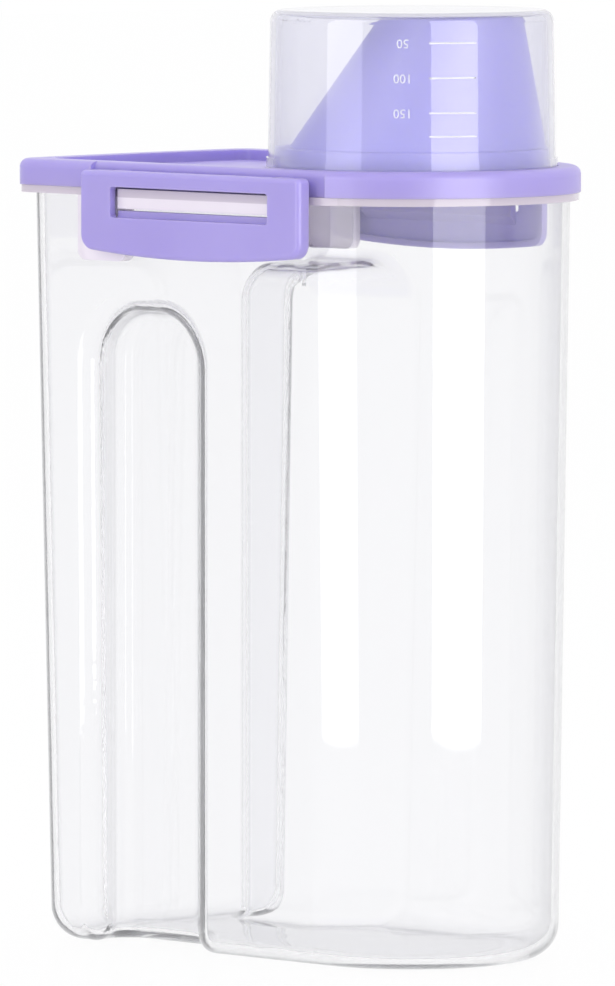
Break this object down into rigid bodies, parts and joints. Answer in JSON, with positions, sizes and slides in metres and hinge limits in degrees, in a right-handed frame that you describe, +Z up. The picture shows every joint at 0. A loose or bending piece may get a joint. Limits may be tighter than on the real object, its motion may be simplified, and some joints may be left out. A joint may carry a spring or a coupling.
{
  "type": "pet food storage container",
  "caption": "Tall clear keeper with a round pouring end, a waisted grip, a clip-down lid, a slanted spout and a measuring cup that covers the spout.",
  "frame": {"origin": "on the floor, under the middle of the lid's outline", "axes": "+X towards the round pouring end, +Y towards the left-hand side as seen by whoever pours, +Z up"},
  "size_m": [0.164, 0.1072, 0.27],
  "materials": {
    "clear_plastic": "clear gloss",
    "lavender_plastic": "satin",
    "frosted_plastic": "frosted",
    "silicone": "matte"
  },
  "bodies": {
    "container": {"container": "clear_plastic"},
    "lid": {"lid": "lavender_plastic", "lid_seal": "silicone", "pour_spout": "lavender_plastic", "spout_seal": "silicone"},
    "right_clip": {"right_clip": "lavender_plastic"},
    "left_clip": {"left_clip": "lavender_plastic"},
    "cup": {"measuring_cup": "frosted_plastic"}
  },
  "joints": [
    {"name": "lid_lift", "type": "slide", "parent": "container", "child": "lid", "axis": [0, 0, 1], "range_m": [0, 0.12]},
    {"name": "right_clip_hinge", "type": "hinge", "parent": "lid", "child": "right_clip", "pos_m": [-0.0024, -0.0484, 0.222], "axis": [-1, 0, 0], "range_deg": [0, 95]},
    {"name": "left_clip_hinge", "type": "hinge", "parent": "lid", "child": "left_clip", "pos_m": [-0.0024, 0.0484, 0.222], "axis": [1, 0, 0], "range_deg": [0, 95]},
    {"name": "cup_lift", "type": "slide", "parent": "lid", "child": "cup", "axis": [0, 0, 1], "range_m": [0, 0.06]}
  ]
}
